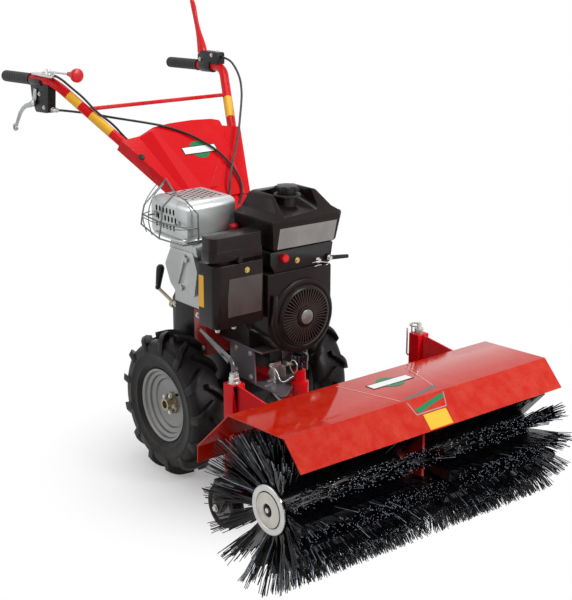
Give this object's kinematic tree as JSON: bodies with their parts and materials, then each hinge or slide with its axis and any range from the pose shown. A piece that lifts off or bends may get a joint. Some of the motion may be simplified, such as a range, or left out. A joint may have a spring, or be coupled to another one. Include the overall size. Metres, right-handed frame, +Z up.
{
  "type": "walk-behind sweeping machine",
  "caption": "Walk-behind two-wheel tractor with petrol engine, long handlebars and a hooded rotary sweeping brush carried on castors in front.",
  "frame": {"origin": "on the ground, under the middle of the machine's box", "axes": "+X forward to the brush, +Y to the machine's left, +Z up"},
  "size_m": [1.6982, 1, 1.2974],
  "materials": {
    "red_paint": "gloss, bright orange-red",
    "black_paint": "satin black",
    "engine_black": "semi-gloss black casting",
    "black_plastic": "glossy moulded black",
    "matte_black": "matt black",
    "red_plastic": "gloss red moulding",
    "tyre_rubber": "matt black rubber",
    "rim_silver": "silver-grey paint",
    "zinc": "zinc plated",
    "yellow_zinc": "yellow passivated zinc",
    "cast_aluminium": "as cast",
    "muffler_steel": "aluminised sheet",
    "grey_sheet": "grey sheet steel",
    "grip_rubber": "ribbed black rubber",
    "bristle": "black polypropylene bristles",
    "core_steel": "brown-grey steel",
    "cable_sheath": "black cable sheath"
  },
  "bodies": {
    "tractor": {"air_cleaner": "black_plastic", "axle_housing": "black_paint", "blower_housing": "black_plastic", "chassis_frame": "red_paint", "clutch_cable": "cable_sheath", "clutch_lever": "red_plastic", "control_panel": "matte_black", "coupling_knob": "matte_black", "cylinder_head": "cast_aluminium", "cylinder_shroud": "black_plastic", "drive_cable": "cable_sheath", "drive_lever": "cast_aluminium", "engine_block": "engine_black", "front_coupling": "red_paint", "front_cradle": "grey_sheet", "fuel_cap": "matte_black", "fuel_tank": "black_plastic", "gear_lever": "yellow_zinc", "gearbox_cover": "black_paint", "grips": "grip_rubber", "handlebar_column": "red_paint", "handlebar_crossbar": "red_paint", "handlebar_panel": "red_paint", "handlebar_tube_left": "red_paint", "handlebar_tube_right": "red_paint", "lever_perches": "matte_black", "muffler": "muffler_steel", "muffler_guard": "zinc", "recoil_starter": "black_plastic", "starter_handle": "matte_black", "throttle_cable": "cable_sheath", "throttle_control": "zinc"},
    "wheel_left": {"tyre_left": "tyre_rubber", "rim_left": "rim_silver", "wheel_hub_left": "yellow_zinc"},
    "wheel_right": {"tyre_right": "tyre_rubber", "rim_right": "rim_silver", "wheel_hub_right": "yellow_zinc"},
    "broom": {"hood": "red_paint", "swing_yoke": "red_paint", "drive_case": "red_paint", "caster_housing_left": "red_paint", "caster_housing_right": "red_paint", "swing_rod": "zinc", "housing_nut": "zinc"},
    "brush": {"brush_core": "core_steel", "brush_half_left": "bristle", "brush_half_right": "bristle", "brush_discs": "zinc"},
    "caster_left": {"caster_fork_left": "black_paint"},
    "caster_right": {"caster_fork_right": "black_paint"},
    "caster_wheel_left": {"caster_wheel_left": "tyre_rubber"},
    "caster_wheel_right": {"caster_wheel_right": "tyre_rubber"}
  },
  "joints": [
    {"name": "wheel_left_spin", "type": "hinge", "parent": "tractor", "child": "wheel_left", "pos_m": [-0.061, 0.224, 0.21], "axis": [0, 1, 0], "continuous": true},
    {"name": "wheel_right_spin", "type": "hinge", "parent": "tractor", "child": "wheel_right", "pos_m": [-0.061, -0.224, 0.21], "axis": [0, 1, 0], "continuous": true},
    {"name": "broom_swing", "type": "hinge", "parent": "tractor", "child": "broom", "pos_m": [0.239, 0, 0.24], "axis": [0, 0, 1], "range_deg": [-15, 15]},
    {"name": "brush_spin", "type": "hinge", "parent": "broom", "child": "brush", "pos_m": [0.649, 0, 0.2], "axis": [0, 1, 0], "continuous": true},
    {"name": "caster_swivel_left", "type": "hinge", "parent": "broom", "child": "caster_left", "pos_m": [0.375, 0.326, 0.3], "axis": [0, 0, 1], "continuous": true},
    {"name": "caster_swivel_right", "type": "hinge", "parent": "broom", "child": "caster_right", "pos_m": [0.375, -0.326, 0.3], "axis": [0, 0, 1], "continuous": true},
    {"name": "caster_wheel_left_spin", "type": "hinge", "parent": "caster_left", "child": "caster_wheel_left", "pos_m": [0.331, 0.326, 0.0625], "axis": [0, 1, 0], "continuous": true},
    {"name": "caster_wheel_right_spin", "type": "hinge", "parent": "caster_right", "child": "caster_wheel_right", "pos_m": [0.331, -0.326, 0.0625], "axis": [0, 1, 0], "continuous": true}
  ]
}
